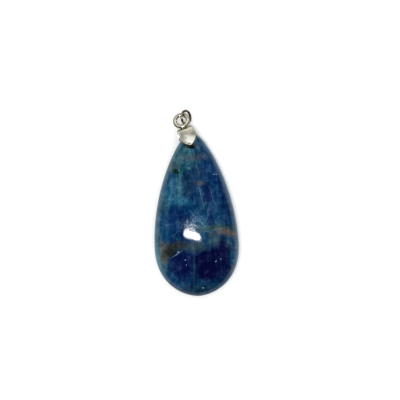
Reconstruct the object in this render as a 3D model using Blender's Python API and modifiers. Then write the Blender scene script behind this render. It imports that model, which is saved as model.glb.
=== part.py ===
"""A polished drop of blue apatite made up as a pendant: the drop, its pinch bail and a jump ring.

Metres. The pendant lies on its flat back. +X is to the right, +Y runs from the drop's round end
towards the bail, and +Z points out of the domed front. The origin is on the flat back, under the
middle of the widest section. Bail sizes are in the bail's own frame, whose +Y is the bail's
centre line and whose origin lies under the lower end of its front leaf.
"""

import math

import bmesh
import bpy
from mathutils import Matrix, Vector

# Drop: outline seen from the front, from the widest section
DROP_WIDTH = 0.0231
ROUND_END = 0.01372
TIP_END = 0.03123
ROUND_END_FULLNESS = 0.00345
BELLY_BELOW = 0.0108
BELLY_ABOVE = 0.01587
TIP_FULLNESS = 0.00346
OUTLINE_STEPS = 17

# Drop: section
GIRDLE_TOP = 0.0025
DOME_RISE = 0.0059
SUMMIT_Y = 0.0047
DOME_STEPS = 13
BACK_BEVEL = 0.0005
BACK_BEVEL_STEPS = 2

# Drop: ground relief behind the tip and the drilled hole
RELIEF_START_Y = 0.019
RELIEF_ANGLE = math.radians(4.5)
HOLE_DIAMETER = 0.0015

# Bail: where it sits and how it leans
LEAF_TIP = (-0.00024, 0.02762)
BAIL_LEAN = math.radians(18.7)

# Bail: folded sheet
SHEET = 0.0004
LEAF_TIP_HEIGHT = 0.00593
LEAF_SLOPE = math.radians(24.7)
LEAF_HALF_WIDTH = 0.0025
LEAF_SHOULDER = 0.0025
LEAF_POINT = 0.65
LEAF_TAPER = 0.18
LEAF_CROWN = 0.00055
BACK_LEAF_START = 0.0004
BACK_LEAF_GAP = 0.0002
FOLD_Y = 0.005
FOLD_RADIUS = 0.0009
SHEET_STEPS = 44
SHEET_COLUMNS = 8

# Bail: pegs, solder and eye
PEG_Y = 0.0015
PEG_DIAMETER = 0.0008
FRONT_PEG_END = 0.0029
BACK_PEG_END = 0.0026
EYE_Y = 0.00726
EYE_TILT = math.radians(24.7)
EYE_HALF_WIDTH = 0.0018
EYE_HALF_HEIGHT = 0.0018
EYE_WIRE = 0.00106
SOLDER_SIZE = (0.0010, 0.00055, 0.00045)

# Jump ring: wire circle through the eye, in the bail's frame
RING_RADIUS = 0.00181
RING_WIRE = 0.00064
RING_CENTRE = (0.0015, 0.00769, 0.00186)
RING_TILT = math.radians(48.5)
RING_TURN = math.radians(19.8)
RING_SPLIT_ANGLE = math.radians(-60)
RING_SPLIT = 0.0003
RING_POINTS = 44

APATITE_BLUE = (0.020, 0.085, 0.160)
NICKEL_SILVER = (0.640, 0.610, 0.530)


def clear_scene():
    for obj in list(bpy.data.objects):
        bpy.data.objects.remove(obj, do_unlink=True)


def new_collection(name):
    collection = bpy.data.collections.new(name)
    bpy.context.scene.collection.children.link(collection)
    return collection


def new_material(name, colour, roughness, metallic):
    material = bpy.data.materials.new(name)
    material.use_nodes = True
    material.diffuse_color = (*colour, 1.0)
    shader = material.node_tree.nodes["Principled BSDF"]
    shader.inputs["Base Color"].default_value = (*colour, 1.0)
    shader.inputs["Roughness"].default_value = roughness
    shader.inputs["Metallic"].default_value = metallic
    return material


def new_object(name, data, collection, place=None):
    obj = bpy.data.objects.new(name, data)
    collection.objects.link(obj)
    if place is not None:
        obj.matrix_world = place
    return obj


def mesh_from(name, bm):
    bmesh.ops.recalc_face_normals(bm, faces=bm.faces)
    mesh = bpy.data.meshes.new(name)
    bm.to_mesh(mesh)
    bm.free()
    return mesh


def helper(name, bm, collection, place=None):
    """An object that only shapes another one through a Boolean."""
    obj = new_object(name, mesh_from(name, bm), collection, place)
    obj.hide_render = True
    obj.display_type = "WIRE"
    return obj


def boolean(obj, other, operation):
    modifier = obj.modifiers.new(f"{operation.lower()} {other.name}", "BOOLEAN")
    modifier.operation = operation
    modifier.object = other


def curve_to_mesh(curve_object):
    """The evaluated curve as a mesh with its loose caps welded, and the curve removed."""
    bpy.context.view_layer.update()
    graph = bpy.context.evaluated_depsgraph_get()
    mesh = bpy.data.meshes.new_from_object(curve_object.evaluated_get(graph))
    bpy.data.objects.remove(curve_object, do_unlink=True)
    bm = bmesh.new()
    bm.from_mesh(mesh)
    bpy.data.meshes.remove(mesh)
    bmesh.ops.remove_doubles(bm, verts=bm.verts, dist=1e-7)
    return bm


def smooth_step(value):
    value = min(max(value, 0.0), 1.0)
    return value * value * (3.0 - 2.0 * value)


def shade_by_angle(mesh, degrees):
    mesh.shade_smooth()
    mesh.set_sharp_from_angle(angle=math.radians(degrees))


def drop_outline(collection):
    """The drop's outline as a closed Bezier curve: round end, two sides and tip."""
    half = DROP_WIDTH / 2
    knots = (
        ((0, -ROUND_END), (-ROUND_END_FULLNESS, 0), (ROUND_END_FULLNESS, 0)),
        ((half, 0), (0, -BELLY_BELOW), (0, BELLY_ABOVE)),
        ((0, TIP_END), (TIP_FULLNESS, 0), (-TIP_FULLNESS, 0)),
        ((-half, 0), (0, BELLY_ABOVE), (0, -BELLY_BELOW)),
    )
    curve = bpy.data.curves.new("drop outline", "CURVE")
    curve.resolution_u = OUTLINE_STEPS
    spline = curve.splines.new("BEZIER")
    spline.bezier_points.add(len(knots) - 1)
    spline.use_cyclic_u = True
    for point, (at, before, after) in zip(spline.bezier_points, knots):
        point.handle_left_type = point.handle_right_type = "FREE"
        point.co = (*at, 0)
        point.handle_left = (at[0] + before[0], at[1] + before[1], 0)
        point.handle_right = (at[0] + after[0], at[1] + after[1], 0)
    return new_object("drop outline", curve, collection)


def drop_levels():
    """Scale and height of each ring of the drop, from the flat back up to the summit."""
    half = DROP_WIDTH / 2
    for step in range(BACK_BEVEL_STEPS + 1):
        angle = 0.5 * math.pi * step / BACK_BEVEL_STEPS
        inset = BACK_BEVEL * (1 - math.sin(angle))
        yield 1 - inset / half, BACK_BEVEL * (1 - math.cos(angle))
    for step in range(DOME_STEPS):
        angle = 0.5 * math.pi * step / DOME_STEPS
        yield math.cos(angle), GIRDLE_TOP + DOME_RISE * math.sin(angle)


def ring_scaled(loop, scale, height):
    """Moves a ring of vertices, with their outline places given, to its level."""
    for vert, outline in loop:
        vert.co.x = outline.x * scale
        vert.co.y = SUMMIT_Y + (outline.y - SUMMIT_Y) * scale
        vert.co.z = height


def stone_mesh(collection):
    """The outline's edge loop, extruded upwards ring by ring while it shrinks to the summit."""
    bm = curve_to_mesh(drop_outline(collection))
    loop = [(vert, vert.co.copy()) for vert in bm.verts]
    edges = list(bm.edges)
    bmesh.ops.contextual_create(bm, geom=edges)
    levels = list(drop_levels())
    ring_scaled(loop, *levels[0])
    for level in levels[1:]:
        made = bmesh.ops.extrude_edge_only(bm, edges=edges)["geom"]
        edges = [item for item in made if isinstance(item, bmesh.types.BMEdge)]
        edges = [edge for edge in edges if edge.is_boundary]
        new_verts = {vert for edge in edges for vert in edge.verts}
        below = dict(loop)
        loop = []
        for vert in new_verts:
            old = next(edge.other_vert(vert) for edge in vert.link_edges if edge not in edges)
            loop.append((vert, below[old]))
        ring_scaled(loop, *level)
    top_face = bmesh.ops.contextual_create(bm, geom=edges)["faces"]
    summit = bmesh.ops.poke(bm, faces=top_face)["verts"][0]
    summit.co = (0, SUMMIT_Y, GIRDLE_TOP + DOME_RISE)
    return mesh_from("stone", bm)


def relief_height(y):
    """Height of the ground relief behind the tip."""
    return math.tan(RELIEF_ANGLE) * (y - RELIEF_START_Y)


def relief_cutter(collection):
    """A block whose top face is the relief, so it takes a low wedge off the back of the tip."""
    length, width, depth = 0.02, 0.03, 0.004
    bm = bmesh.new()
    bmesh.ops.create_cube(bm, size=1)
    bmesh.ops.scale(bm, vec=(width, length, depth), verts=bm.verts)
    bmesh.ops.translate(bm, vec=(0, length / 2, -depth / 2), verts=bm.verts)
    place = Matrix.Translation((0, RELIEF_START_Y, 0)) @ Matrix.Rotation(RELIEF_ANGLE, 4, "X")
    return helper("tip relief", bm, collection, place)


def bail_place():
    return Matrix.Translation((*LEAF_TIP, 0)) @ Matrix.Rotation(BAIL_LEAN, 4, "Z")


def rod(name, diameter, bottom, top, collection):
    """A round rod on the peg's centre line, between two heights."""
    bm = bmesh.new()
    bmesh.ops.create_cone(
        bm,
        cap_ends=True,
        segments=20,
        radius1=diameter / 2,
        radius2=diameter / 2,
        depth=top - bottom,
    )
    bmesh.ops.translate(bm, vec=(0, PEG_Y, (bottom + top) / 2), verts=bm.verts)
    return helper(name, bm, collection, bail_place())


def make_stone(parts, helpers):
    stone = new_object("stone", stone_mesh(helpers), parts)
    boolean(stone, relief_cutter(helpers), "DIFFERENCE")
    through = 2 * (GIRDLE_TOP + DOME_RISE)
    boolean(stone, rod("drilled hole", HOLE_DIAMETER, -through, through, helpers), "DIFFERENCE")
    shade_by_angle(stone.data, 40)
    stone.data.materials.append(new_material("polished apatite", APATITE_BLUE, 0.12, 0.0))
    return stone


def sheet_corners():
    """The folded sheet's centre line in the bail's Y-Z plane, as four corners."""
    tip_y = LEAF_TIP[1]
    lean = math.cos(BAIL_LEAN)

    def back(y):
        return relief_height(tip_y + lean * y) - BACK_LEAF_GAP - SHEET / 2

    front_fall = math.tan(LEAF_SLOPE)
    return [
        Vector((0, LEAF_TIP_HEIGHT)),
        Vector((FOLD_Y, LEAF_TIP_HEIGHT - front_fall * FOLD_Y)),
        Vector((FOLD_Y, back(FOLD_Y))),
        Vector((BACK_LEAF_START, back(BACK_LEAF_START))),
    ]


def rounded_path(corners, radius, steps_per_bend=8):
    """The corners' path with its inner corners replaced by arcs."""
    points = [corners[0]]
    for before, corner, after in zip(corners, corners[1:], corners[2:]):
        to_before = (before - corner).normalized()
        to_after = (after - corner).normalized()
        half = to_before.angle(to_after) / 2
        centre = corner + (to_before + to_after).normalized() * (radius / math.sin(half))
        start = corner + to_before * (radius / math.tan(half)) - centre
        turn = (math.pi - 2 * half) * math.copysign(1, to_after.cross(to_before))
        for step in range(steps_per_bend + 1):
            angle = turn * step / steps_per_bend
            cos, sin = math.cos(angle), math.sin(angle)
            arm = Vector((start.x * cos - start.y * sin, start.x * sin + start.y * cos))
            points.append(centre + arm)
    points.append(corners[-1])
    return points


def path_sampler(points):
    """A function from distance along the path to its place, and the path's length."""
    reach = [0.0]
    for a, b in zip(points, points[1:]):
        reach.append(reach[-1] + (b - a).length)

    def place(distance):
        for index in range(len(points) - 1):
            if distance <= reach[index + 1] or index == len(points) - 2:
                share = (distance - reach[index]) / (reach[index + 1] - reach[index])
                return points[index].lerp(points[index + 1], share)

    return place, reach[-1]


def leaf_half_width(from_tip):
    """Half-width of the sheet at a distance from its nearer leaf tip: a shield with a neck."""
    if from_tip < LEAF_SHOULDER:
        rise = (from_tip / LEAF_SHOULDER) ** LEAF_POINT
        return max(LEAF_HALF_WIDTH * rise, 0.12 * LEAF_HALF_WIDTH)
    return LEAF_HALF_WIDTH - LEAF_TAPER * (from_tip - LEAF_SHOULDER)


def sheet_mesh():
    """A flat grid bent along the folded centre line, cut to the leaf outline and crowned."""
    place, length = path_sampler(rounded_path(sheet_corners(), FOLD_RADIUS))
    bm = bmesh.new()
    bmesh.ops.create_grid(bm, x_segments=SHEET_COLUMNS, y_segments=SHEET_STEPS, size=1)
    for vert in bm.verts:
        across, along = vert.co.x, (vert.co.y + 1) / 2
        distance = length * along
        y, z = place(distance)
        x = across * leaf_half_width(min(distance, length - distance))
        on_front_leaf = smooth_step((FOLD_Y - FOLD_RADIUS - distance) / LEAF_SHOULDER)
        z -= on_front_leaf * LEAF_CROWN * (x / LEAF_HALF_WIDTH) ** 2
        vert.co = (x, y, z)
    return mesh_from("pinch bail", bm)


def eye_up():
    """The eye's own upward direction, which drops away from the fold."""
    return Vector((0, math.cos(EYE_TILT), -math.sin(EYE_TILT)))


def eye_foot():
    """Where the eye's wire meets the fold, in the plane of the front leaf."""
    y = EYE_Y - EYE_HALF_HEIGHT * math.cos(EYE_TILT)
    return Vector((0, y, LEAF_TIP_HEIGHT - math.tan(LEAF_SLOPE) * y))


def eye_centre():
    return eye_foot() + EYE_HALF_HEIGHT * eye_up()


def eye_point(angle):
    """A point of the eye's wire centre line, and the wire's direction there."""
    across = EYE_HALF_WIDTH * Vector((1, 0, 0))
    upward = EYE_HALF_HEIGHT * eye_up()
    place = eye_centre() + math.cos(angle) * across + math.sin(angle) * upward
    return place, (math.cos(angle) * upward - math.sin(angle) * across).normalized()


def eye_torus(helpers):
    """The eye: a wire loop a little wider than it is tall."""
    bpy.ops.mesh.primitive_torus_add(
        major_segments=40,
        minor_segments=14,
        major_radius=EYE_HALF_WIDTH,
        minor_radius=EYE_WIRE / 2,
    )
    made = bpy.context.object
    bm = bmesh.new()
    bm.from_mesh(made.data)
    bpy.data.objects.remove(made, do_unlink=True)
    bmesh.ops.scale(bm, vec=(1, EYE_HALF_HEIGHT / EYE_HALF_WIDTH, 1), verts=bm.verts)
    turned = Matrix.Translation(eye_centre()) @ Matrix.Rotation(-EYE_TILT, 4, "X")
    return helper("eye", bm, helpers, bail_place() @ turned)


def solder_drop(helpers):
    """The small mound of solder where the eye meets the fold."""
    bm = bmesh.new()
    bmesh.ops.create_uvsphere(bm, u_segments=20, v_segments=10, radius=1)
    bmesh.ops.scale(bm, vec=SOLDER_SIZE, verts=bm.verts)
    foot = eye_foot()
    middle = (0, (foot.y + FOLD_Y) / 2, foot.z - SHEET / 2)
    return helper("solder", bm, helpers, bail_place() @ Matrix.Translation(middle))


def make_bail(parts, helpers):
    bail = new_object("pinch_bail", sheet_mesh(), parts, bail_place())
    thick = bail.modifiers.new("sheet thickness", "SOLIDIFY")
    thick.thickness = SHEET
    thick.offset = 0
    corners = sheet_corners()
    leaf_at_peg = LEAF_TIP_HEIGHT - math.tan(LEAF_SLOPE) * PEG_Y
    back_at_peg = corners[3].y + SHEET / 4
    boolean(bail, rod("front peg", PEG_DIAMETER, FRONT_PEG_END, leaf_at_peg, helpers), "UNION")
    boolean(bail, rod("back peg", PEG_DIAMETER, back_at_peg, BACK_PEG_END, helpers), "UNION")
    boolean(bail, solder_drop(helpers), "UNION")
    boolean(bail, eye_torus(helpers), "UNION")
    shade_by_angle(bail.data, 40)
    bail.data.materials.append(new_material("nickel silver bail", NICKEL_SILVER, 0.22, 1.0))
    return bail


def ring_axes():
    """The ring's plane in the bail's frame: its normal and two axes that span it."""
    normal = Vector((
        math.sin(RING_TILT) * math.cos(RING_TURN),
        -math.sin(RING_TILT) * math.sin(RING_TURN),
        math.cos(RING_TILT),
    ))
    first = Vector((0, 1, 0)).cross(normal).normalized()
    return normal, first, normal.cross(first)


def link_point():
    """Where the eye's wire passes through the ring."""
    normal, _, _ = ring_axes()
    centre = Vector(RING_CENTRE)
    places = [eye_point(2 * math.pi * step / 3600)[0] for step in range(3600)]
    inside = [place for place in places if (place - centre).length < RING_RADIUS]
    return min(inside, key=lambda place: abs((place - centre).dot(normal)))


def make_jump_ring(parts, helpers):
    """Round wire bent to a circle that doesn't quite close, with its origin on the eye's wire."""
    _, first, second = ring_axes()
    centre = Vector(RING_CENTRE)
    pivot = link_point()
    half_split = RING_SPLIT / (2 * RING_RADIUS)
    sweep = 2 * math.pi - 2 * half_split
    curve = bpy.data.curves.new("ring wire", "CURVE")
    curve.dimensions = "3D"
    curve.bevel_depth = RING_WIRE / 2
    curve.bevel_resolution = 3
    curve.use_fill_caps = True
    spline = curve.splines.new("POLY")
    spline.points.add(RING_POINTS - 1)
    for index, point in enumerate(spline.points):
        angle = RING_SPLIT_ANGLE + half_split + sweep * index / (RING_POINTS - 1)
        arm = RING_RADIUS * (math.cos(angle) * first + math.sin(angle) * second)
        point.co = (*(centre + arm - pivot), 1)
    bm = curve_to_mesh(new_object("ring wire", curve, helpers))
    place = bail_place() @ Matrix.Translation(pivot)
    ring = new_object("jump_ring", mesh_from("jump ring", bm), parts, place)
    shade_by_angle(ring.data, 40)
    ring.data.materials.append(new_material("nickel silver ring", NICKEL_SILVER, 0.25, 1.0))
    return ring


def main():
    clear_scene()
    parts = new_collection("apatite drop pendant")
    helpers = new_collection("cutters")
    make_stone(parts, helpers)
    make_bail(parts, helpers)
    make_jump_ring(parts, helpers)


main()
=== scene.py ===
import math

import bpy
from mathutils import Matrix, Vector


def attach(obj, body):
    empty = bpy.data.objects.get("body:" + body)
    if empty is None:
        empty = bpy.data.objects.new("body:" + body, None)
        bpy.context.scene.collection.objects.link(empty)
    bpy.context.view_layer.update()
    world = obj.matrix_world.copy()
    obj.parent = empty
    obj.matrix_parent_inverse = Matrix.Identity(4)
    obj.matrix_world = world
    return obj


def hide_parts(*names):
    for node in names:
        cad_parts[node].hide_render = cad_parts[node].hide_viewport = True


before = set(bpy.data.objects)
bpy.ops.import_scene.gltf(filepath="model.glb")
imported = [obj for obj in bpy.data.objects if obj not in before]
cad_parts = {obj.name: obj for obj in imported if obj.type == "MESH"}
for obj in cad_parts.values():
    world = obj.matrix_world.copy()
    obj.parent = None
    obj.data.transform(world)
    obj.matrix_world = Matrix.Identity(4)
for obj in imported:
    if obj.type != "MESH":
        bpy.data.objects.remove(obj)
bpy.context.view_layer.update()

print("frame loaded")


# modelling helpers


def deselectAll():
    if bpy.context.object and bpy.context.object.mode != "OBJECT":
        bpy.ops.object.mode_set(mode="OBJECT")
    bpy.ops.object.select_all(action="DESELECT")


def pick(obj):
    deselectAll()
    obj.select_set(True)
    bpy.context.view_layer.objects.active = obj


def startEdit(obj):
    pick(obj)
    bpy.ops.object.mode_set(mode="EDIT")


def selectVerts(obj, wanted):
    # selects the vertices whose place passes the test, in vertex mode
    bpy.ops.mesh.select_mode(type="VERT")
    bpy.ops.mesh.select_all(action="DESELECT")
    bpy.ops.object.mode_set(mode="OBJECT")
    for vert in obj.data.vertices:
        vert.select = bool(wanted(vert.co))
    bpy.ops.object.mode_set(mode="EDIT")


def applyModifier(obj, kind, **values):
    pick(obj)
    modifier = obj.modifiers.new(kind.lower(), kind)
    for name, value in values.items():
        setattr(modifier, name, value)
    bpy.ops.object.modifier_apply(modifier=modifier.name)


def roundEdges(obj, width, segments):
    # only where two faces meet more sharply than 50 degrees
    applyModifier(
        obj, "BEVEL", width=width, segments=segments, limit_method="ANGLE", angle_limit=math.radians(50)
    )


def combine(obj, other, operation):
    # joins or cuts with another solid, which is then deleted
    applyModifier(obj, "BOOLEAN", operation=operation, object=other, solver="EXACT")
    bpy.data.objects.remove(other, do_unlink=True)


def finishPiece(obj, name, smoothAngle):
    pick(obj)
    bpy.ops.object.transform_apply(location=True, rotation=True, scale=True)
    bpy.ops.object.shade_smooth_by_angle(angle=smoothAngle)
    obj.name = name
    obj.data.name = name
    return obj


def smoothStep(value):
    value = min(max(value, 0.0), 1.0)
    return value * value * (3.0 - 2.0 * value)


# the apatite drop

drop = {
    "width": 0.0231,
    "roundEnd": 0.01372,
    "tipEnd": 0.03123,
    "roundEndFullness": 0.00345,
    "bellyBelow": 0.0108,
    "bellyAbove": 0.01587,
    "tipFullness": 0.00346,
    "girdleTop": 0.0025,
    "domeRise": 0.0059,
    "summitY": 0.0047,
    "backBevel": 0.0005,
    "reliefStartY": 0.019,
    "reliefAngle": math.radians(4.5),
    "holeDiameter": 0.0015,
    "drillLength": 0.02,
    "holeSides": 40,
    "outlineSteps": 40,
    "domeSteps": 44,
    "bevelSteps": 5,
    "smoothAngle": math.radians(35),
}

# where the bail sits on the drop, which the drilled hole follows
bailPlace = {
    "leafTip": (-0.00024, 0.02762),
    "lean": math.radians(18.7),
    "pegY": 0.0015,
}


def bailMatrix():
    return Matrix.Translation((*bailPlace["leafTip"], 0)) @ Matrix.Rotation(bailPlace["lean"], 4, "Z")


def dropLevels():
    # scale and height of each level of the outline, from the flat back to the summit
    levels = []
    half = drop["width"] / 2
    for step in range(drop["bevelSteps"] + 1):
        angle = 0.5 * math.pi * step / drop["bevelSteps"]
        inset = drop["backBevel"] * (1 - math.sin(angle))
        levels.append((1 - inset / half, drop["backBevel"] * (1 - math.cos(angle))))
    for step in range(drop["domeSteps"]):
        angle = 0.5 * math.pi * step / drop["domeSteps"]
        levels.append((math.cos(angle), drop["girdleTop"] + drop["domeRise"] * math.sin(angle)))
    return levels


def makeDrop():
    deselectAll()
    bpy.ops.curve.primitive_bezier_circle_add(radius=drop["width"] / 2)
    obj = bpy.context.object
    half = drop["width"] / 2
    up, down = drop["bellyAbove"], drop["bellyBelow"]
    knots = (
        ((-half, 0), (0, -down), (0, up)),
        ((0, drop["tipEnd"]), (-drop["tipFullness"], 0), (drop["tipFullness"], 0)),
        ((half, 0), (0, up), (0, -down)),
        ((0, -drop["roundEnd"]), (drop["roundEndFullness"], 0), (-drop["roundEndFullness"], 0)),
    )
    obj.data.resolution_u = drop["outlineSteps"]
    for point, (at, before, after) in zip(obj.data.splines[0].bezier_points, knots):
        point.handle_left_type = point.handle_right_type = "FREE"
        point.co = (*at, 0)
        point.handle_left = (at[0] + before[0], at[1] + before[1], 0)
        point.handle_right = (at[0] + after[0], at[1] + after[1], 0)
    bpy.ops.object.convert(target="MESH")
    obj = bpy.context.object
    obj.name = "dropWork"

    startEdit(obj)
    bpy.ops.mesh.select_all(action="SELECT")
    bpy.ops.mesh.edge_face_add()
    levels = dropLevels()
    first = levels[0][0]
    bpy.ops.transform.resize(value=(first, first, 1), center_override=(0, drop["summitY"], 0))
    for (scaleA, heightA), (scaleB, heightB) in zip(levels, levels[1:]):
        bpy.ops.mesh.extrude_region()
        bpy.ops.transform.translate(value=(0, 0, heightB - heightA))
        grow = scaleB / scaleA
        bpy.ops.transform.resize(value=(grow, grow, 1), center_override=(0, drop["summitY"], heightB))
    bpy.ops.mesh.merge(type="CENTER")  # the last level closes at the summit
    bpy.ops.transform.translate(value=(0, 0, drop["girdleTop"] + drop["domeRise"] - levels[-1][1]))

    # the ground relief behind the tip
    bpy.ops.mesh.select_all(action="SELECT")
    angle = drop["reliefAngle"]
    bpy.ops.mesh.bisect(
        plane_co=(0, drop["reliefStartY"], 0),
        plane_no=(0, -math.sin(angle), math.cos(angle)),
        use_fill=True,
        clear_inner=True,
    )
    bpy.ops.mesh.select_all(action="SELECT")
    bpy.ops.mesh.normals_make_consistent(inside=False)
    deselectAll()

    # the drilled hole for the pegs
    bpy.ops.mesh.primitive_cylinder_add(
        vertices=drop["holeSides"], radius=drop["holeDiameter"] / 2, depth=drop["drillLength"]
    )
    drill = bpy.context.object
    drill.matrix_world = bailMatrix() @ Matrix.Translation((0, bailPlace["pegY"], 0))
    combine(obj, drill, "DIFFERENCE")
    return finishPiece(obj, "apatiteDrop", drop["smoothAngle"])


# the pinch bail

bail = {
    "sheet": 0.0004,
    "tipHeight": 0.00593,
    "slope": math.radians(24.7),
    "halfWidth": 0.0025,
    "shoulder": 0.0025,
    "point": 0.65,
    "tipShare": 0.12,
    "taper": 0.18,
    "crown": 0.00055,
    "backStart": 0.0004,
    "backGap": 0.0002,
    "foldY": 0.005,
    "foldRadius": 0.0009,
    "columns": 18,
    "bendSteps": 10,
    "tipRows": (
        0, 0.00005, 0.00012, 0.0002, 0.0003, 0.00045, 0.0006, 0.0008, 0.0010, 0.0013,
        0.0016, 0.0019, 0.0022, 0.00238, 0.0025, 0.00262, 0.0028, 0.0031, 0.0034, 0.0036,
    ),
    "bendRowsFrom": 0.0038,
    "edgeRound": 0.00018,
    "edgeSteps": 3,
    "pegDiameter": 0.0008,
    "pegRound": 0.00012,
    "pegSides": 28,
    "frontPegEnd": 0.0029,
    "backPegEnd": 0.0026,
    "eyeY": 0.00726,
    "eyeTilt": math.radians(24.7),
    "eyeRadius": 0.0018,
    "eyeWire": 0.00106,
    "eyeFlatness": 0.8,
    "eyeSteps": (72, 24),
    "solder": (0.0010, 0.00055, 0.00045),
    "solderSteps": (32, 16),
    "smoothAngle": math.radians(40),
}


def sheetCorners():
    # the folded sheet's centre line, seen from the side, in the bail's own frame
    def back(y):
        behind = bailPlace["leafTip"][1] + math.cos(bailPlace["lean"]) * y
        relief = math.tan(drop["reliefAngle"]) * (behind - drop["reliefStartY"])
        return relief - bail["backGap"] - bail["sheet"] / 2

    fold, fall = bail["foldY"], math.tan(bail["slope"])
    return [
        Vector((0, bail["tipHeight"])),
        Vector((fold, bail["tipHeight"] - fall * fold)),
        Vector((fold, back(fold))),
        Vector((bail["backStart"], back(bail["backStart"]))),
    ]


def roundedPath(corners, radius, stepsPerBend):
    points = [corners[0]]
    for before, corner, after in zip(corners, corners[1:], corners[2:]):
        toBefore = (before - corner).normalized()
        toAfter = (after - corner).normalized()
        half = toBefore.angle(toAfter) / 2
        centre = corner + (toBefore + toAfter).normalized() * (radius / math.sin(half))
        start = corner + toBefore * (radius / math.tan(half)) - centre
        turn = (math.pi - 2 * half) * math.copysign(1, toAfter.cross(toBefore))
        for step in range(stepsPerBend + 1):
            angle = turn * step / stepsPerBend
            cos, sin = math.cos(angle), math.sin(angle)
            spoke = Vector((start.x * cos - start.y * sin, start.x * sin + start.y * cos))
            points.append(centre + spoke)
    points.append(corners[-1])
    return points


def leafHalfWidth(fromTip):
    # a shield with a neck: rounded tip, shoulders, then a slow taper to the fold
    if fromTip < bail["shoulder"]:
        rise = (fromTip / bail["shoulder"]) ** bail["point"]
        return max(bail["halfWidth"] * rise, bail["tipShare"] * bail["halfWidth"])
    return bail["halfWidth"] - bail["taper"] * (fromTip - bail["shoulder"])


def sheetRows():
    # place, half-width and crown of each row of the sheet, from the front tip to the back tip
    points = roundedPath(sheetCorners(), bail["foldRadius"], bail["bendSteps"])
    reach = [0.0]
    for a, b in zip(points, points[1:]):
        reach.append(reach[-1] + (b - a).length)
    length = reach[-1]
    fromFront = list(bail["tipRows"])
    fromBack = [length - stop for stop in reversed(fromFront)]
    inBends = [stop for stop in reach[1:-1] if stop > bail["bendRowsFrom"]]
    rows = []
    for stop in sorted(fromFront + inBends + fromBack):
        for index in range(len(points) - 1):
            if stop <= reach[index + 1] or index == len(points) - 2:
                share = (stop - reach[index]) / (reach[index + 1] - reach[index])
                place = points[index].lerp(points[index + 1], share)
                break
        half = leafHalfWidth(min(stop, length - stop))
        onFront = smoothStep((bail["foldY"] - bail["foldRadius"] - stop) / bail["shoulder"])
        rows.append((place, half, onFront * bail["crown"] * (half / bail["halfWidth"]) ** 2))
    return rows


def makeSheet():
    # one row of edges, crowned, then extruded from row to row
    rows = sheetRows()
    place, half, crown = rows[0]
    deselectAll()
    bpy.ops.mesh.primitive_grid_add(x_subdivisions=bail["columns"], y_subdivisions=1, size=2 * half)
    obj = bpy.context.object
    startEdit(obj)
    selectVerts(obj, lambda co: co.y > 0)
    bpy.ops.mesh.delete(type="VERT")
    bpy.ops.mesh.select_all(action="SELECT")
    bpy.ops.transform.translate(value=(0, place.x + half, place.y))
    for column in range(bail["columns"] // 2 + 1):
        across = half * 2 * column / bail["columns"]
        selectVerts(obj, lambda co: abs(abs(co.x) - across) < half / 100)
        bpy.ops.transform.translate(value=(0, 0, -crown * (across / half) ** 2))
    bpy.ops.mesh.select_all(action="SELECT")
    for (placeA, halfA, crownA), (placeB, halfB, crownB) in zip(rows, rows[1:]):
        bpy.ops.mesh.extrude_region()
        bpy.ops.transform.translate(value=(0, placeB.x - placeA.x, placeB.y - placeA.y))
        flatten = crownB / crownA if crownA > 1e-9 else 1
        middle = (0, placeB.x, placeB.y)
        bpy.ops.transform.resize(value=(halfB / halfA, 1, flatten), center_override=middle)
    bpy.ops.mesh.select_all(action="SELECT")
    bpy.ops.mesh.normals_make_consistent(inside=False)
    deselectAll()
    applyModifier(obj, "SOLIDIFY", thickness=bail["sheet"], offset=0, use_even_offset=True)
    roundEdges(obj, bail["edgeRound"], bail["edgeSteps"])
    return obj


def eyeFoot():
    y = bail["eyeY"] - bail["eyeRadius"] * math.cos(bail["eyeTilt"])
    return Vector((0, y, bail["tipHeight"] - math.tan(bail["slope"]) * y))


def eyeCentre():
    tilt = bail["eyeTilt"]
    return eyeFoot() + bail["eyeRadius"] * Vector((0, math.cos(tilt), -math.sin(tilt)))


def makeRod(bottom, top):
    deselectAll()
    middle = (0, bailPlace["pegY"], (bottom + top) / 2)
    bpy.ops.mesh.primitive_cylinder_add(
        vertices=bail["pegSides"], radius=bail["pegDiameter"] / 2, depth=abs(top - bottom), location=middle
    )
    rod = bpy.context.object
    roundEdges(rod, bail["pegRound"], bail["edgeSteps"])
    return rod


def makeBail():
    obj = makeSheet()
    obj.name = "bailWork"
    leafAtPeg = bail["tipHeight"] - math.tan(bail["slope"]) * bailPlace["pegY"]
    combine(obj, makeRod(bail["frontPegEnd"], leafAtPeg), "UNION")
    combine(obj, makeRod(sheetCorners()[3].y, bail["backPegEnd"]), "UNION")
    deselectAll()
    foot = eyeFoot()
    around, up = bail["solderSteps"]
    bpy.ops.mesh.primitive_uv_sphere_add(segments=around, ring_count=up, radius=1)
    solder = bpy.context.object
    solder.scale = bail["solder"]
    solder.location = (0, (foot.y + bail["foldY"]) / 2, foot.z - bail["sheet"] / 2)
    combine(obj, solder, "UNION")
    deselectAll()
    around, across = bail["eyeSteps"]
    bpy.ops.mesh.primitive_torus_add(
        major_segments=around,
        minor_segments=across,
        major_radius=bail["eyeRadius"],
        minor_radius=bail["eyeWire"] / 2,
    )
    eye = bpy.context.object
    eye.location = eyeCentre()
    eye.rotation_euler = (-bail["eyeTilt"], 0, 0)
    eye.scale.z = bail["eyeFlatness"]
    combine(obj, eye, "UNION")
    obj.matrix_world = bailMatrix()
    return finishPiece(obj, "pinchBail", bail["smoothAngle"])


# the jump ring

ring = {
    "radius": 0.00181,
    "wire": 0.00064,
    "centre": (0.0015, 0.00769, 0.00186),
    "tilt": math.radians(48.5),
    "turn": math.radians(19.8),
    "splitAngle": math.radians(-60),
    "split": 0.0003,
    "steps": 72,
    "wireSides": 24,
    "endRound": 0.00006,
    "endSteps": 2,
    "smoothAngle": math.radians(40),
}


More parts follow.
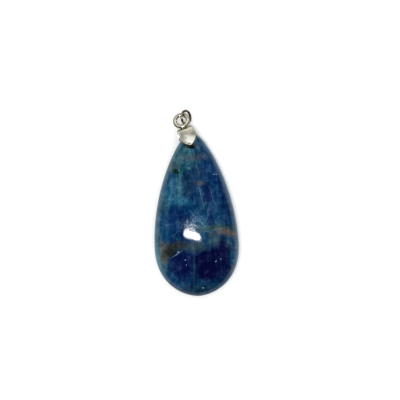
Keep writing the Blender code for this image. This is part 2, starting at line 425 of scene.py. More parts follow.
def makeRing():
    tilt, turn = ring["tilt"], ring["turn"]
    normal = Vector((math.sin(tilt) * math.cos(turn), -math.sin(tilt) * math.sin(turn), math.cos(tilt)))
    first = Vector((0, 1, 0)).cross(normal).normalized()
    second = normal.cross(first)
    halfSplit = ring["split"] / (2 * ring["radius"])
    start = ring["splitAngle"] + halfSplit
    deselectAll()
    bpy.ops.mesh.primitive_circle_add(
        vertices=ring["wireSides"], radius=ring["wire"] / 2, rotation=(math.pi / 2, 0, 0)
    )
    obj = bpy.context.object
    obj.location = (ring["radius"], 0, 0)
    bpy.ops.object.transform_apply(location=True, rotation=True, scale=True)
    startEdit(obj)
    bpy.ops.mesh.select_all(action="SELECT")
    sweep = 2 * math.pi - 2 * halfSplit
    bpy.ops.mesh.spin(steps=ring["steps"], angle=sweep, center=(0, 0, 0), axis=(0, 0, 1), dupli=False)
    bpy.ops.mesh.select_all(action="SELECT")
    bpy.ops.mesh.fill_holes(sides=0)
    bpy.ops.mesh.select_all(action="SELECT")
    bpy.ops.mesh.normals_make_consistent(inside=False)
    deselectAll()
    roundEdges(obj, ring["endRound"], ring["endSteps"])
    frameOf = Matrix((first, second, normal)).transposed().to_4x4()
    ownPlace = Matrix.Translation(ring["centre"]) @ frameOf @ Matrix.Rotation(start, 4, "Z")
    obj.matrix_world = bailMatrix() @ ownPlace
    return finishPiece(obj, "jumpRing", ring["smoothAngle"])


# material helpers


def tone(red, green, blue):
    # a colour picked, 0 to 255, as Blender's linear numbers
    def linear(value):
        value = value / 255
        return value / 12.92 if value <= 0.04045 else ((value + 0.055) / 1.055) ** 2.4

    return (linear(red), linear(green), linear(blue), 1.0)


class Nodes:
    # places nodes in one tree and links what is a socket
    def __init__(self, tree):
        self.tree = tree
        self.count = 0

    def add(self, kind, values=None, **settings):
        made = self.tree.nodes.new(kind)
        made.location = (220 * (self.count % 12), -320 * (self.count // 12))
        self.count += 1
        for name, value in settings.items():
            setattr(made, name, value)
        for name, value in (values or {}).items():
            self.put(made.inputs[name], value)
        return made

    def put(self, socket, value):
        if isinstance(value, bpy.types.NodeSocket):
            self.tree.links.new(value, socket)
        else:
            socket.default_value = value

    def math(self, operation, first, second=0.0):
        return self.add("ShaderNodeMath", {0: first, 1: second}, operation=operation).outputs[0]

    def mix(self, share, first, second):
        made = self.add("ShaderNodeMix", data_type="RGBA", blend_type="MIX", clamp_factor=True)
        self.put(made.inputs[0], share)
        self.put(made.inputs[6], first)
        self.put(made.inputs[7], second)
        return made.outputs[2]

    def ramp(self, value, low, high, outLow=0.0, outHigh=1.0):
        made = self.add(
            "ShaderNodeMapRange",
            {"Value": value, "From Min": low, "From Max": high, "To Min": outLow, "To Max": outHigh},
            interpolation_type="SMOOTHSTEP",
        )
        return made.outputs["Result"]

    def noise(self, vector, scale, detail, roughness=0.6, distortion=0.0):
        values = {"Vector": vector, "Scale": scale, "Detail": detail}
        return self.add("ShaderNodeTexNoise", values | {"Roughness": roughness, "Distortion": distortion})

    def place(self, vector, scale=(1, 1, 1), turn=0.0):
        values = {"Vector": vector, "Scale": scale, "Rotation": (0, 0, turn)}
        return self.add("ShaderNodeMapping", values).outputs["Vector"]

    def apart(self, vector):
        return self.add("ShaderNodeSeparateXYZ", {0: vector}).outputs

    def vectorMath(self, operation, first, second):
        # the second value of a scaling is a number, of the others a vector
        second = {3: second} if operation == "SCALE" else {1: second}
        return self.add("ShaderNodeVectorMath", {0: first} | second, operation=operation).outputs[0]


def makePatchGroup():
    # A soft-edged mask at a place, turned and as sharp as asked. Squareness 2 is an oval.
    tree = bpy.data.node_groups.new("softPatch", "ShaderNodeTree")
    for name in ("Vector", "Centre"):
        tree.interface.new_socket(name, in_out="INPUT", socket_type="NodeSocketVector")
    for name in ("Turn", "Half Width", "Half Height", "Squareness", "Softness", "Strength"):
        tree.interface.new_socket(name, in_out="INPUT", socket_type="NodeSocketFloat")
    tree.interface.new_socket("Mask", in_out="OUTPUT", socket_type="NodeSocketFloat")
    kit = Nodes(tree)
    given = kit.add("NodeGroupInput").outputs
    offset = kit.vectorMath("SUBTRACT", given["Vector"], given["Centre"])
    turned = kit.add(
        "ShaderNodeVectorRotate",
        {"Vector": offset, "Angle": kit.math("MULTIPLY", given["Turn"], -1.0)},
        rotation_type="Z_AXIS",
    )
    apart = kit.apart(turned.outputs[0])
    across = kit.math("ABSOLUTE", kit.math("DIVIDE", apart[0], given["Half Width"]))
    along = kit.math("ABSOLUTE", kit.math("DIVIDE", apart[1], given["Half Height"]))
    across = kit.math("POWER", across, given["Squareness"])
    along = kit.math("POWER", along, given["Squareness"])
    root = kit.math("DIVIDE", 1.0, given["Squareness"])
    distance = kit.math("POWER", kit.math("ADD", across, along), root)
    inner = kit.math("SUBTRACT", 1.0, given["Softness"])
    outer = kit.math("ADD", 1.0, given["Softness"])
    mask = kit.ramp(distance, outer, inner)
    kit.add("NodeGroupOutput", {"Mask": kit.math("MULTIPLY", mask, given["Strength"])})
    return tree


softPatch = makePatchGroup()


def addPatch(kit, label, vector, centre, size, turn, softness, strength=1.0, squareness=3.0):
    # places the soft patch in a material and gives its mask
    patch = kit.add("ShaderNodeGroup", node_tree=softPatch, label=label)
    kit.put(patch.inputs["Vector"], vector)
    patch.inputs["Centre"].default_value = (*centre, 0)
    patch.inputs["Turn"].default_value = turn
    patch.inputs["Half Width"].default_value, patch.inputs["Half Height"].default_value = size
    patch.inputs["Squareness"].default_value = squareness
    patch.inputs["Softness"].default_value = softness
    patch.inputs["Strength"].default_value = strength
    return patch.outputs["Mask"]


def addZones(kit, colour, vector, zones, prefix):
    for name, (centre, halfWidth, halfHeight, turn, softness, strength, shade) in zones.items():
        size = (halfWidth, halfHeight)
        mask = addPatch(kit, prefix + name, vector, centre, size, math.radians(turn), softness, strength)
        colour = kit.mix(mask, colour, shade)
    return colour


# Places are in millimetres from the middle of the widest section, along the crystal's grain, which
# leans a little from the drop's own axis. A range gives where an effect starts and ends, and where it
# has four numbers also its values there. Wander, ragged and the sways give a noise's scale, its detail
# and how far it moves a pattern.
apatite = {
    "perMetre": 1000,
    "grainLean": math.radians(2.69),
    "depthStretch": 0.4,
    "deepBlue": tone(8, 42, 82),
    "tealBlue": tone(18, 70, 104),
    "cloudScale": 0.2,
    "cloudRange": (0.35, 0.65),
    "wander": (0.45, 2.0, 1.8),
    "ragged": (1.9, 4.0, 1.2),
    "rustScale": 1.3,
    "rustRange": (0.32, 0.5, 0.55, 1.0),
    "mottleScale": 0.6,
    "mottling": 1.4,
    "fibreStretch": (1.5, 0.13, 0.8),
    "fibres": 1.1,
    "blockStretch": (0.5, 0.2, 0.3),
    "blocks": 0.3,
    "veilStretch": (0.8, 0.5, 0.5),
    "veilEdge": 0.09,
    "veilRange": (0.45, 0.65),
    "veil": 0.5,
    "brightness": 0.69,
    "hueRange": (-0.6, 0.8, 0.515, 0.485),
    "saturationRange": (-0.6, 0.9, 1.12, 0.8),
    "valueRange": (-0.9, 0.9, 0.25, 1.9),
    "crackSway": (0.9, 3.0, 0.7),
    "crackSoftness": 0.9,
    "crackScale": 0.9,
    "crackRange": (0.35, 0.55, 0.3, 1.0),
    "crackPale": tone(104, 142, 156),
    "pitSway": (3.5, 2.0, 0.22),
    "pitSoftness": 0.6,
    # the pits' painted glints
    "paintedPitGlint": tone(178, 206, 222),
    # the painted shadow under the tip of the front leaf
    "tipShadowPlace": (-1.92, 27.35),
    "tipShadowSize": (1.6, 0.7),
    "tipShadowTurn": math.radians(-6),
    "tipShadowSway": (0.9, 3.0, 0.5),
    "tipShadowSoftness": 0.35,
    "paintedTipShadow": tone(2, 3, 8),
    "scuffPlace": (-0.9, 5.6),
    "scuffSize": (3.0, 1.9),
    "scuffSoftness": 0.7,
    "scuffRelief": 0.14,
    "speckScale": 2.6,
    "speckRange": (0.52, 0.64),
    "hairStretch": (1, 0.6, 1),
    "hairTurn": 0.5,
    "hairScale": 1.5,
    "hairWidth": 0.035,
    "hairRange": (0.42, 0.6, 0.1, 1.0),
    "hairStrength": 0.7,
    # scratches painted pale, partly a painted halo round the highlight
    "paintedHaloPale": tone(176, 216, 220),
    # the paler rim painted on the dome's steep edge, weaker towards the round end
    "paintedRimPale": tone(92, 140, 158),
    "paintedRimStrength": 0.6,
    "paintedRimByTilt": (0.72, 0.2),
    "paintedRimByHeight": (0.8, 2.6, 0.3, 1.0),
    "paintedRimByLength": (-13.0, -6.0, 0.3, 1.0),
    "paintedRimOnGirdle": (0.0, 0.2, 0.2, 1.0),
    "polishScale": 2.2,
    "polishRange": (0.35, 0.7, 0.035, 0.07),
    "polishRelief": 0.9,
    "groundRange": (0.30, 0.05, 0.0, 0.3),
    "waveScale": 1.6,
    "waveRelief": 0.5,
    "reliefStrength": 0.45,
    "reliefDepth": 0.00002,
    "refraction": 1.63,
}

# each zone: centre, half-width, half-height, turn in degrees, softness, strength, colour
blueZones = {
    "paleLowerLeft": ((-10.3, -4.2), 1.7, 7.5, 10, 0.6, 0.65, tone(66, 116, 130)),
    "paleUpperLeft": ((-8.6, 11.5), 1.3, 6.5, -14, 0.6, 0.5, tone(54, 108, 134)),
    "tealShoulder": ((-4.6, 25.2), 4.2, 5.0, -25, 0.5, 0.75, tone(38, 94, 108)),
    "tipBlue": ((2.4, 26.4), 2.4, 2.8, 30, 0.5, 0.7, tone(20, 64, 96)),
    "deepRightFlank": ((5.4, 18.6), 2.8, 8.0, 18, 0.5, 0.7, tone(10, 50, 96)),
    "lightStrand": ((-4.8, 19.0), 0.8, 6.4, 2, 0.6, 0.6, tone(60, 110, 118)),
    "lightLeft": ((-7.0, 16.2), 1.9, 3.4, -12, 0.6, 0.5, tone(34, 88, 118)),
    "darkColumn": ((-2.6, 17.4), 1.2, 3.6, 0, 0.25, 0.8, tone(8, 44, 72)),
    "darkWedge": ((2.1, 16.1), 1.4, 0.5, -8, 0.3, 0.8, tone(8, 32, 82)),
    "navyBlock": ((2.9, 13.8), 1.5, 1.7, 20, 0.3, 0.75, tone(7, 30, 80)),
    "navyStreak": ((3.95, 8.4), 0.6, 3.4, 0, 0.4, 0.75, tone(7, 28, 80)),
    "rightEdgeDark": ((7.9, 12.0), 1.1, 5.2, 14, 0.5, 0.6, tone(12, 40, 80)),
    "paleWisps": ((-4.8, 12.4), 3.2, 1.1, -10, 0.6, 0.6, tone(50, 110, 138)),
    "deepMiddle": ((-4.3, 7.2), 4.2, 3.0, 0, 0.6, 0.6, tone(10, 40, 94)),
    "lightLeftMiddle": ((-7.9, 4.5), 1.4, 4.0, 0, 0.7, 0.4, tone(34, 82, 118)),
    "lightMiddle": ((0.2, 12.6), 1.6, 2.2, 0, 0.7, 0.35, tone(30, 82, 118)),
    "tealBand": ((5.6, 5.0), 4.6, 0.75, 0, 0.6, 0.85, tone(38, 70, 68)),
    "tealPatch": ((5.2, 1.3), 2.2, 1.6, -30, 0.6, 0.85, tone(52, 84, 96)),
    "rightNavy": ((4.2, -4.9), 5.2, 4.6, 14, 0.3, 0.97, tone(1, 5, 54)),
    "rightNavyHorn": ((7.2, -0.6), 1.7, 2.6, 0, 0.3, 0.9, tone(3, 10, 56)),
    "leftNavy": ((-4.3, -5.0), 3.5, 3.4, 0, 0.35, 0.92, tone(3, 20, 70)),
    "leftBottom": ((-6.2, -9.8), 3.6, 1.3, -35, 0.6, 0.6, tone(26, 70, 108)),
    "bottomTeal": ((1.6, -11.8), 4.4, 1.3, 4, 0.5, 0.8, tone(5, 36, 56)),
}

# the same for the rusty, grey and green parts
warmZones = {
    "oliveHaze": ((-1.2, 24.2), 3.4, 0.9, 3, 0.8, 0.6, tone(74, 76, 82)),
    "greyHaze": ((0.4, 21.8), 1.6, 2.6, 10, 0.8, 0.15, tone(50, 74, 82)),
    "brownHaze": ((-6.4, 21.6), 1.2, 1.5, -20, 0.8, 0.45, tone(78, 84, 78)),
    "greenSpot": ((-5.74, 20.5), 0.8, 0.58, 0, 0.25, 0.97, tone(10, 38, 20)),
    "rust": ((0.65, 17.2), 1.2, 0.4, -5, 0.8, 0.7, tone(78, 68, 62)),
    "greenEdge": ((-9.0, 11.2), 1.0, 1.8, 0, 0.8, 0.6, tone(22, 60, 62)),
    "tanBand": ((8.7, 3.7), 2.8, 0.7, -12, 0.9, 0.85, tone(104, 94, 84)),
    "bandTail": ((5.0, 3.5), 1.8, 0.5, 8, 0.8, 0.45, tone(72, 74, 76)),
    "bandFoot": ((9.6, 0.6), 1.2, 2.0, 0, 0.8, 0.4, tone(66, 86, 98)),
    "greyLink": ((-0.8, -0.2), 3.0, 1.1, 8, 0.7, 0.75, tone(52, 70, 78)),
    "veinLimb": ((-9.1, -1.9), 0.9, 2.6, 6, 0.6, 0.92, tone(88, 80, 66)),
    "veinArm": ((-6.4, 0.2), 3.6, 0.75, 4, 0.6, 0.85, tone(60, 62, 54)),
    "veinOlive": ((-7.0, -1.3), 2.1, 1.2, 22, 0.5, 0.94, tone(30, 40, 30)),
    "rightFleck": ((10.0, -6.0), 0.5, 1.2, -20, 0.7, 0.5, tone(96, 88, 84)),
}

# thin healed cracks: start, end, half-width, strength
apatiteCracks = {
    "long": ((0.58, 16.7), (1.98, 11.0), 0.11, 0.4),
    "right": ((3.54, 15.9), (4.42, 12.8), 0.10, 0.38),
    "lower": ((-0.71, -0.8), (-0.71, -10.5), 0.14, 0.09),
    "veinEdge": ((-6.3, -2.8), (-4.2, -1.25), 0.10, 0.65),
    "bandTop": ((2.4, 4.1), (9.0, 5.2), 0.10, 0.35),
    "strand": ((-0.9, 26.0), (0.6, 19.6), 0.14, 0.22),
}

# small open pits, dented into the surface and painted pale as glints of light: centre, half-width,
# half-height, turn in degrees
apatitePits = (
    ((4.69, 19.65), 0.13, 0.08, 10), ((5.32, 19.59), 0.10, 0.12, 0), ((-2.03, 21.29), 0.08, 0.08, 0),
    ((-0.82, 8.42), 0.07, 0.07, 0), ((-0.08, 8.15), 0.09, 0.06, 30), ((1.37, 8.07), 0.06, 0.06, 0),
    ((-4.97, -1.51), 0.12, 0.09, -20), ((-3.05, -3.7), 0.14, 0.06, 15), ((-2.77, -5.05), 0.07, 0.09, 0),
    ((6.59, -3.43), 0.10, 0.07, 40), ((5.27, -4.09), 0.17, 0.06, 35), ((1.81, -11.36), 0.22, 0.06, 5),
)


def makeApatite():
    material = bpy.data.materials.new("polishedApatite")
    material.use_nodes = True
    tree = material.node_tree
    shader = tree.nodes["Principled BSDF"]
    kit = Nodes(tree)
    given = kit.add("ShaderNodeTexCoord").outputs
    inMillimetres = (apatite["perMetre"],) * 3
    grain = kit.place(given["Object"], inMillimetres, apatite["grainLean"])
    flat = kit.place(grain, (1, 1, apatite["depthStretch"]))

    def pattern(vector, scale, detail=3.0, distortion=0.0):
        return kit.noise(vector, scale, detail, distortion=distortion).outputs["Fac"]

    def shifted(vector, scale, detail, reach):
        # moves a pattern about by a noise, so that its edges wander
        sway = kit.noise(flat, scale, detail).outputs["Color"]
        sway = kit.vectorMath("SCALE", kit.vectorMath("SUBTRACT", sway, (0.5, 0.5, 0.5)), reach)
        return kit.vectorMath("ADD", vector, sway)

    def swing(value, reach):
        # up and down round the middle of a pattern
        return kit.math("MULTIPLY", kit.math("SUBTRACT", value, 0.5), reach)

    warped = shifted(shifted(grain, *apatite["wander"]), *apatite["ragged"])

    def cells(stretch, feature):
        values = {"Vector": kit.place(warped, stretch), "Scale": 1.0}
        return kit.add("ShaderNodeTexVoronoi", values, feature=feature).outputs

    clouds = kit.ramp(pattern(flat, apatite["cloudScale"], detail=4.0), *apatite["cloudRange"])
    colour = kit.mix(clouds, apatite["deepBlue"], apatite["tealBlue"])
    colour = addZones(kit, colour, warped, blueZones, "blue ")

    # iron-stained veins, broken up by rusty grains
    warm = addZones(kit, colour, warped, warmZones, "warm ")
    rusty = kit.ramp(pattern(grain, apatite["rustScale"], detail=5.0), *apatite["rustRange"])
    colour = kit.mix(rusty, colour, warm)

    # cloudy mottling, fibres along the grain, uneven blocks, and a pale veil
    mottle = pattern(flat, apatite["mottleScale"], detail=5.0, distortion=0.5)
    fibres = pattern(kit.place(grain, apatite["fibreStretch"]), scale=1.0, detail=4.0)
    blocks = cells(apatite["blockStretch"], "F1")["Color"]
    block = kit.add("ShaderNodeSeparateColor", {0: blocks}).outputs[0]
    veil = kit.ramp(cells(apatite["veilStretch"], "DISTANCE_TO_EDGE")["Distance"], apatite["veilEdge"], 0.0)
    veil = kit.math("MULTIPLY", veil, kit.ramp(mottle, *apatite["veilRange"]))
    veil = kit.math("MULTIPLY", veil, apatite["veil"])
    shade = kit.math("ADD", swing(mottle, apatite["mottling"]), swing(fibres, apatite["fibres"]))
    shade = kit.math("ADD", shade, kit.math("ADD", swing(block, apatite["blocks"]), veil))
    low, high, dark, light = apatite["valueRange"]
    brightness = apatite["brightness"]
    tint = kit.add("ShaderNodeHueSaturation", {"Color": colour})
    kit.put(tint.inputs["Hue"], kit.ramp(shade, *apatite["hueRange"]))
    kit.put(tint.inputs["Saturation"], kit.ramp(shade, *apatite["saturationRange"]))
    kit.put(tint.inputs["Value"], kit.ramp(shade, low, high, dark * brightness, light * brightness))
    colour = tint.outputs["Color"]

    swayed = shifted(grain, *apatite["crackSway"])
    broken = kit.ramp(pattern(grain, apatite["crackScale"]), *apatite["crackRange"])
    for name, (start, end, halfWidth, strength) in apatiteCracks.items():
        run = Vector(end) - Vector(start)
        middle = (Vector(start) + Vector(end)) / 2
        size, turn = (run.length / 2, halfWidth), math.atan2(run.y, run.x)
        mask = addPatch(kit, name + " crack", swayed, middle, size, turn, apatite["crackSoftness"], strength)
        colour = kit.mix(kit.math("MULTIPLY", mask, broken), colour, apatite["crackPale"])

    pitsAndGlints = None
    chipped = shifted(grain, *apatite["pitSway"])
    for centre, halfWidth, halfHeight, turn in apatitePits:
        size, softness = (halfWidth, halfHeight), apatite["pitSoftness"]
        mask = addPatch(kit, "pit", chipped, centre, size, math.radians(turn), softness, squareness=2.0)
        pitsAndGlints = mask if pitsAndGlints is None else kit.math("MAXIMUM", pitsAndGlints, mask)
    # the pits are painted pale as glints of light
    colour = kit.mix(pitsAndGlints, colour, apatite["paintedPitGlint"])

    # dark painted shadow under the tip of the front leaf
    around = shifted(grain, *apatite["tipShadowSway"])
    size, softness = apatite["tipShadowSize"], apatite["tipShadowSoftness"]
    tipShadow = addPatch(kit, "painted tip shadow", around, apatite["tipShadowPlace"], size, apatite["tipShadowTurn"], softness)
    colour = kit.mix(tipShadow, colour, apatite["paintedTipShadow"])

    # the summit is scuffed, so the light breaks up there, with fine scratches painted pale, partly a painted
    # halo round the highlight
    size, softness = apatite["scuffSize"], apatite["scuffSoftness"]
    scuff = addPatch(kit, "scuff", grain, apatite["scuffPlace"], size, 0.0, softness, squareness=2.0)
    fine = pattern(grain, apatite["speckScale"])
    brushed = kit.place(grain, apatite["hairStretch"], apatite["hairTurn"])
    haloScratches = pattern(brushed, apatite["hairScale"], distortion=1.2)
    haloScratches = kit.ramp(kit.math("ABSOLUTE", kit.math("SUBTRACT", haloScratches, 0.5)), apatite["hairWidth"], 0.0)
    haloScratches = kit.math("MULTIPLY", haloScratches, kit.ramp(fine, *apatite["hairRange"]))
    haloScratches = kit.math("MULTIPLY", kit.math("MULTIPLY", haloScratches, scuff), apatite["hairStrength"])
    colour = kit.mix(haloScratches, colour, apatite["paintedHaloPale"])

    # the steep edge of the dome is painted paler, painted light standing in for light through its thin edge
    along, height = kit.apart(grain)[1:3]
    facing = kit.apart(given["Normal"])[2]
    paintedRim = kit.ramp(facing, *apatite["paintedRimByTilt"])
    paintedRim = kit.math("MULTIPLY", paintedRim, kit.ramp(height, *apatite["paintedRimByHeight"]))
    paintedRim = kit.math("MULTIPLY", paintedRim, kit.ramp(along, *apatite["paintedRimByLength"]))
    paintedRim = kit.math("MULTIPLY", paintedRim, kit.ramp(facing, *apatite["paintedRimOnGirdle"]))
    colour = kit.mix(kit.math("MULTIPLY", paintedRim, apatite["paintedRimStrength"]), colour, apatite["paintedRimPale"])
    kit.put(shader.inputs["Base Color"], colour)

    # the flat back is only ground, the rest polished
    polish = kit.ramp(pattern(grain, apatite["polishScale"], detail=4.0), *apatite["polishRange"])
    ground = kit.ramp(height, *apatite["groundRange"])
    kit.put(shader.inputs["Roughness"], kit.math("ADD", polish, ground))
    shader.inputs["IOR"].default_value = apatite["refraction"]

    waves = kit.math("MULTIPLY", pattern(grain, apatite["waveScale"]), apatite["waveRelief"])
    specks = kit.math("MULTIPLY", kit.ramp(fine, *apatite["speckRange"]), scuff)
    relief = kit.math("SUBTRACT", kit.math("ADD", waves, swing(fine, apatite["polishRelief"])), pitsAndGlints)
    relief = kit.math("ADD", relief, kit.math("MULTIPLY", specks, apatite["scuffRelief"]))
    bump = kit.add("ShaderNodeBump", {"Height": relief})
    bump.inputs["Strength"].default_value = apatite["reliefStrength"]
    bump.inputs["Distance"].default_value = apatite["reliefDepth"]
    kit.put(shader.inputs["Normal"], bump.outputs["Normal"])
    return material


# the bail is bright; the ring's wire is browned, its tarnish dark enough to stand in also for painted dark
# reflections
bailMetal = {
    "colour": (0.60, 0.58, 0.48, 1),
    "tint": (0.42, 0.39, 0.30, 1),
    "smooth": 0.16,
    "rough": 0.34,
    "cloudScale": 0.7,
}
ringMetal = {
    "colour": (0.62, 0.54, 0.42, 1),
    "tint": (0.15, 0.08, 0.045, 1),
    "smooth": 0.14,
    "rough": 0.3,
    "cloudScale": 1.1,
}
metalWear = {
    "perMetre": 1000,
    "cloudRange": (0.42, 0.7),
    "scratchStretch": (1, 0.1, 1),
    "scratchTurn": 0.6,
    "scratchScale": 6.0,
    "scratchRange": (0.5, 0.7),
    "scratchRoughness": 0.06,
    "dentScale": 1.6,
    "dentStrength": 0.35,
    "dentDepth": 0.00004,
}

# darker in the leaf's middle and neck, painted highlights on its tip and left edge, a painted reflection on
# the eye, painted shade at the eye's foot, and dark spots, written like the stone's zones
leafMarksAndLight = {
    "darkerMiddle": ((-3.0, 31.0), 2.0, 1.2, 10, 0.6, 0.75, (0.34, 0.33, 0.27, 1)),
    "darkerNeck": ((-1.5, 31.6), 0.8, 1.4, 0, 0.6, 0.4, (0.40, 0.38, 0.31, 1)),
    "paintedTipHighlight": ((-1.9, 29.0), 1.7, 1.1, -20, 0.6, 0.75, (0.92, 0.90, 0.82, 1)),
    "paintedEyeReflection": ((-3.6, 33.6), 2.6, 1.9, 0, 0.4, 0.9, (0.88, 0.83, 0.68, 1)),
    "paintedEyeFootShade": ((-3.5, 32.3), 0.9, 0.3, 0, 0.6, 0.8, (0.16, 0.12, 0.05, 1)),
    "paintedGlint": ((-1.8, 28.6), 0.7, 0.3, -20, 0.6, 0.95, (1, 1, 0.95, 1)),
    "paintedEdgeHighlight": ((-4.7, 30.0), 0.4, 1.9, 24, 0.5, 0.6, (0.9, 0.88, 0.8, 1)),
    "tipSpot": ((-2.1, 28.0), 0.45, 0.2, 0, 0.6, 0.7, (0.12, 0.10, 0.07, 1)),
    "leftSpot": ((-2.9, 29.6), 0.22, 0.3, 0, 0.6, 0.6, (0.25, 0.22, 0.16, 1)),
    "lowSpot": ((-3.1, 28.4), 0.2, 0.25, 0, 0.6, 0.8, (0.12, 0.10, 0.07, 1)),
}

# painted dark reflections on the ring's right side and crown, and a paler low end
ringMarksAndLight = {
    "paintedDarkRightSide": ((-1.2, 35.2), 0.9, 2.2, 8, 0.5, 0.85, (0.11, 0.055, 0.03, 1)),
    "paintedDarkCrown": ((-3.2, 37.0), 0.7, 0.5, 0, 0.5, 0.7, (0.14, 0.07, 0.04, 1)),
    "paleLowEnd": ((-1.1, 33.2), 0.6, 0.6, 0, 0.5, 0.7, (0.60, 0.50, 0.30, 1)),
}


def makeWearGroup():
    # handling marks of small findings: cloudy tarnish, fine scratches and soft dents
    tree = bpy.data.node_groups.new("findingWear", "ShaderNodeTree")
    tree.interface.new_socket("Vector", in_out="INPUT", socket_type="NodeSocketVector")
    tree.interface.new_socket("Cloud Scale", in_out="INPUT", socket_type="NodeSocketFloat")
    for name in ("Tarnish", "Scratches", "Dents"):
        tree.interface.new_socket(name, in_out="OUTPUT", socket_type="NodeSocketFloat")
    kit = Nodes(tree)
    given = kit.add("NodeGroupInput").outputs
    here = given["Vector"]
    clouds = kit.noise(here, given["Cloud Scale"], 4.0).outputs["Fac"]
    brushed = kit.place(here, metalWear["scratchStretch"], metalWear["scratchTurn"])
    fine = kit.noise(brushed, metalWear["scratchScale"], 3.0, 0.55).outputs["Fac"]
    dents = kit.noise(here, metalWear["dentScale"], 2.0, 0.5).outputs["Fac"]
    tarnish = kit.ramp(clouds, *metalWear["cloudRange"])
    scratches = kit.ramp(fine, *metalWear["scratchRange"])
    kit.add("NodeGroupOutput", {"Tarnish": tarnish, "Scratches": scratches, "Dents": dents})
    return tree


findingWear = makeWearGroup()


def makeMetal(name, look, zones):
    material = bpy.data.materials.new(name)
    material.use_nodes = True
    shader = material.node_tree.nodes["Principled BSDF"]
    kit = Nodes(material.node_tree)
    here = kit.place(kit.add("ShaderNodeTexCoord").outputs["Object"], (metalWear["perMetre"],) * 3)
    group = kit.add("ShaderNodeGroup", node_tree=findingWear)
    kit.put(group.inputs["Vector"], here)
    group.inputs["Cloud Scale"].default_value = look["cloudScale"]
    wear = group.outputs
    shade = kit.mix(wear["Tarnish"], look["colour"], look["tint"])
    turned = kit.place(here, turn=apatite["grainLean"])
    # the zones paint highlights, reflections and shade as well as marks
    kit.put(shader.inputs["Base Color"], addZones(kit, shade, turned, zones, "marked "))
    scratched = kit.math("MULTIPLY", wear["Scratches"], metalWear["scratchRoughness"])
    clouded = kit.ramp(wear["Tarnish"], 0, 1, look["smooth"], look["rough"])
    kit.put(shader.inputs["Roughness"], kit.math("ADD", scratched, clouded))
    shader.inputs["Metallic"].default_value = 1.0
    bump = kit.add("ShaderNodeBump", {"Height": wear["Dents"]})
    bump.inputs["Strength"].default_value = metalWear["dentStrength"]
    bump.inputs["Distance"].default_value = metalWear["dentDepth"]
    kit.put(shader.inputs["Normal"], bump.outputs["Normal"])
    return material


# pieces

dropPiece = makeDrop()
dropPiece.data.materials.clear()
dropPiece.data.materials.append(makeApatite())
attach(dropPiece, "pendant")
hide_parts("stone")
print("apatite drop:", len(dropPiece.data.polygons), "faces")

bailPiece = makeBail()
bailPiece.data.materials.clear()
bailPiece.data.materials.append(makeMetal("bailNickelSilver", bailMetal, leafMarksAndLight))
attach(bailPiece, "pendant")
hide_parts("pinch_bail")
print("pinch bail:", len(bailPiece.data.polygons), "faces")

ringPiece = makeRing()
ringPiece.data.materials.clear()
ringPiece.data.materials.append(makeMetal("ringNickelSilver", ringMetal, ringMarksAndLight))
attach(ringPiece, "ring")
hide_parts("jump_ring")
print("jump ring:", len(ringPiece.data.polygons), "faces")


# floor, light and camera

studio = {
    "floorSize": 4.0,
    "speckleScale": 900.0,
    "paperDark": (0.90, 0.90, 0.90, 1),
    "paperPale": (0.93, 0.93, 0.93, 1),
    "paperMirrored": (0.34, 0.33, 0.31, 1),
    "sensorWidth": 36,
    "frameWidth": 0.10976,
    "cameraHeight": 0.50,
    "aim": (0.00152, 0.01256),
    "roll": math.radians(-2.69),
    "girdle": 0.0025,
    "keyPlace": (-0.068, -0.0340, 0.60),
    "keySize": (0.235, 0.028),
    "keyTurn": math.radians(-15),
    "keyPower": 1.3,
    "keyAim": (0, 0.004, 0),
    "windowPlace": (0.0, 0.50, 0.27),
    "windowSize": (0.95, 0.32),
    "windowPower": 0.5,
    "metalPlace": (0.0, 0.36, 0.43),
    "metalSize": (1.0, 0.62),
    "metalPower": 0.95,
    "softAim": (0, 0.03, 0),
    "dimWorld": 0.03,
    "fillWorld": 1.0,
    "paleWorld": 0.93,
}


def makeFloor():
    deselectAll()
    bpy.ops.mesh.primitive_plane_add(size=studio["floorSize"])
    floor = bpy.context.object
    floor.name = "paleFloor"
    material = bpy.data.materials.new("palePaper")
    material.use_nodes = True
    kit = Nodes(material.node_tree)
    shader = material.node_tree.nodes["Principled BSDF"]
    here = kit.add("ShaderNodeTexCoord").outputs["Object"]
    speckle = kit.noise(here, studio["speckleScale"], 2.0, 0.55).outputs["Fac"]
    paper = kit.mix(speckle, studio["paperDark"], studio["paperPale"])
    # dimmer where the pieces mirror it
    mirrored = kit.add("ShaderNodeLightPath").outputs["Is Glossy Ray"]
    kit.put(shader.inputs["Base Color"], kit.mix(mirrored, paper, studio["paperMirrored"]))
    shader.inputs["Roughness"].default_value = 0.9
    shader.inputs["Specular IOR Level"].default_value = 0.1
    floor.data.materials.append(material)


def aimAt(obj, target):
    # tilts a lamp that points down, about X and then Y, so that its width stays along X
    way = Vector(target) - obj.location
    obj.rotation_euler = (math.atan2(way.y, -way.z), -math.atan2(way.x, math.hypot(way.y, way.z)), 0)


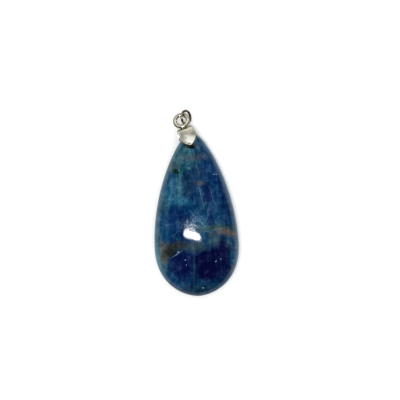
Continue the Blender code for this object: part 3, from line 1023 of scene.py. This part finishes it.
def makeLight(name, aim, shape="RECTANGLE"):
    # the values are the studio's own for this name
    light = bpy.data.lights.new(name + "Light", "AREA")
    light.shape = shape
    light.size, light.size_y = studio[name + "Size"]
    light.energy = studio[name + "Power"]
    obj = bpy.data.objects.new(name + "Light", light)
    bpy.context.scene.collection.objects.link(obj)
    obj.location = studio[name + "Place"]
    aimAt(obj, aim)
    return obj


def makeWorld():
    world = bpy.data.worlds.new("studioAir")
    bpy.context.scene.world = world
    world.use_nodes = True
    kit = Nodes(world.node_tree)
    world.node_tree.nodes.clear()
    rays = kit.add("ShaderNodeLightPath").outputs
    # pale behind the piece, soft fill on it, nearly dark where it mirrors the room
    around = kit.ramp(rays["Is Glossy Ray"], 0, 1, studio["fillWorld"], studio["dimWorld"])
    behind = kit.ramp(rays["Is Camera Ray"], 0, 1, 0, studio["paleWorld"])
    strength = kit.math("ADD", around, behind)
    glow = kit.add("ShaderNodeBackground", {"Color": (1, 1, 1, 1), "Strength": strength})
    kit.add("ShaderNodeOutputWorld", {"Surface": glow.outputs[0]})


makeFloor()
makeWorld()
key = makeLight("key", studio["keyAim"], "ELLIPSE")
key.rotation_euler.z = studio["keyTurn"]
makeLight("window", studio["softAim"])

# a soft light from above and behind that only the metal catches
metalOnly = bpy.data.collections.new("metalOnly")
metalOnly.objects.link(bailPiece)
metalOnly.objects.link(ringPiece)
metalLight = makeLight("metal", studio["softAim"])
metalLight.light_linking.receiver_collection = metalOnly

cameraData = bpy.data.cameras.new("camera")
cameraData.sensor_width = studio["sensorWidth"]
cameraData.lens = studio["sensorWidth"] * studio["cameraHeight"] / studio["frameWidth"]
cameraData.clip_start = 0.01
camera = bpy.data.objects.new("camera", cameraData)
bpy.context.scene.collection.objects.link(camera)
camera.location = (*studio["aim"], studio["cameraHeight"] + studio["girdle"])
camera.rotation_euler = (0, 0, studio["roll"])
bpy.context.scene.camera = camera
bpy.context.scene.view_settings.view_transform = "Standard"
bpy.context.scene.view_settings.look = "None"
print("floor, light and camera placed")
